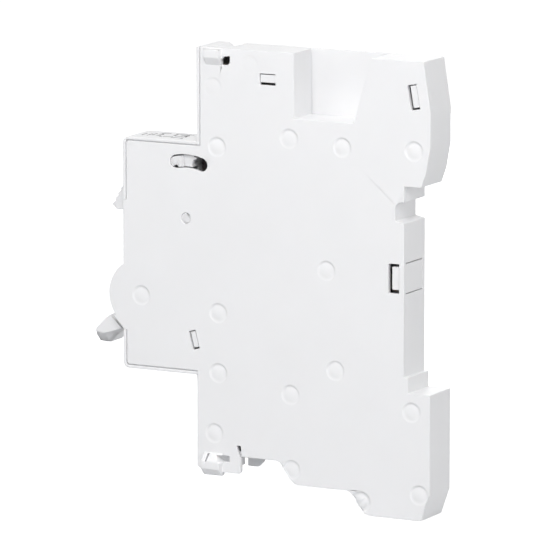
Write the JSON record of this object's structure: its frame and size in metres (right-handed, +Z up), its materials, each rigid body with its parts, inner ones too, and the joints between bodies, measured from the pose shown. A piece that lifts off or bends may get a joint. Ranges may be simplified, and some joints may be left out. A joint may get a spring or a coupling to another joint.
{
  "type": "auxiliary contact block",
  "caption": "Half-module auxiliary contact that clips beside a rail-mounted breaker, with a toggle, a test button, a changeover contact and stepped screw terminals.",
  "frame": {"origin": "centre of the rail seat: on the rail's front plane, at the rail's centre line, half-way across the width", "axes": "+Z up along the case, -Y out of the front towards the operator, +X to the side that meets the breaker"},
  "size_m": [0.0104, 0.0727, 0.087],
  "materials": {
    "case_white": "fine-textured white polyamide",
    "cover_white": "fine-textured white polyamide",
    "handle_white": "satin white polyamide",
    "mechanism_plastic": "natural acetal",
    "button_white": "satin white polyamide",
    "steel": "bright drawn steel",
    "zinc_steel": "zinc-plated steel",
    "brass": "stamped brass",
    "bronze": "rolled spring bronze",
    "contact_silver": "satin silver alloy"
  },
  "bodies": {
    "housing": {"base_shell": "case_white", "side_cover": "cover_white", "handle_pin": "steel", "handle_spring": "steel", "test_spring": "steel", "contact_spring": "steel", "blade_pin": "steel", "common_bar": "brass", "closing_bar": "brass", "opening_bar": "brass", "closing_contact": "contact_silver", "opening_contact": "contact_silver"},
    "handle": {"toggle_handle": "handle_white"},
    "lever": {"coupling_lever": "mechanism_plastic"},
    "slide": {"transfer_slide": "mechanism_plastic"},
    "blade": {"contact_blade": "bronze", "moving_contact": "contact_silver"},
    "button": {"test_button": "button_white"},
    "screw_1": {"terminal_screw_1": "zinc_steel"},
    "screw_2": {"terminal_screw_2": "zinc_steel"},
    "screw_3": {"terminal_screw_3": "zinc_steel"},
    "clamp_1": {"terminal_clamp_1": "zinc_steel"},
    "clamp_2": {"terminal_clamp_2": "zinc_steel"},
    "clamp_3": {"terminal_clamp_3": "zinc_steel"}
  },
  "joints": [
    {"name": "handle_turn", "type": "hinge", "parent": "housing", "child": "handle", "pos_m": [0, -0.05615, -0.00699], "axis": [-1, 0, 0], "range_deg": [0, 70]},
    {"name": "slide_travel", "type": "slide", "parent": "housing", "child": "slide", "axis": [0, 0, -1], "range_m": [0, 0.00275], "deforming": ["contact_spring"]},
    {"name": "lever_turn", "type": "hinge", "parent": "housing", "child": "lever", "pos_m": [0, -0.04633, 0.00871], "axis": [-1, 0, 0], "range_deg": [0, 12.8]},
    {"name": "blade_turn", "type": "hinge", "parent": "housing", "child": "blade", "pos_m": [0, -0.012, -0.0095], "axis": [1, 0, 0], "range_deg": [0, 6.8]},
    {"name": "test_slide", "type": "slide", "parent": "housing", "child": "button", "axis": [0, 0, -1], "range_m": [0, 0.003], "stiffness_N_per_m": 8, "springref_m": -0.0025, "deforming": ["test_spring"]},
    {"name": "screw_1_turn", "type": "hinge", "parent": "housing", "child": "screw_1", "pos_m": [0, -0.04, -0.0333], "axis": [0, 1, 0], "range_deg": [0, 1440]},
    {"name": "screw_2_turn", "type": "hinge", "parent": "housing", "child": "screw_2", "pos_m": [0, -0.027, -0.0286], "axis": [0, 1, 0], "range_deg": [0, 1440]},
    {"name": "screw_3_turn", "type": "hinge", "parent": "housing", "child": "screw_3", "pos_m": [0, -0.013, -0.0239], "axis": [0, 1, 0], "range_deg": [0, 1440]},
    {"name": "clamp_1_slide", "type": "slide", "parent": "housing", "child": "clamp_1", "axis": [0, -1, 0], "range_m": [0, 0.002]},
    {"name": "clamp_2_slide", "type": "slide", "parent": "housing", "child": "clamp_2", "axis": [0, -1, 0], "range_m": [0, 0.002]},
    {"name": "clamp_3_slide", "type": "slide", "parent": "housing", "child": "clamp_3", "axis": [0, -1, 0], "range_m": [0, 0.002]}
  ],
  "couplings": [
    {"joint": "handle_turn", "follows": "slide_travel", "rad_per_m": 443.75},
    {"joint": "lever_turn", "follows": "slide_travel", "rad_per_m": 79.507},
    {"joint": "blade_turn", "follows": "slide_travel", "rad_per_m": 41.673},
    {"joint": "screw_1_turn", "follows": "clamp_1_slide", "rad_per_m": 12566},
    {"joint": "screw_2_turn", "follows": "clamp_2_slide", "rad_per_m": 12566},
    {"joint": "screw_3_turn", "follows": "clamp_3_slide", "rad_per_m": 12566}
  ]
}
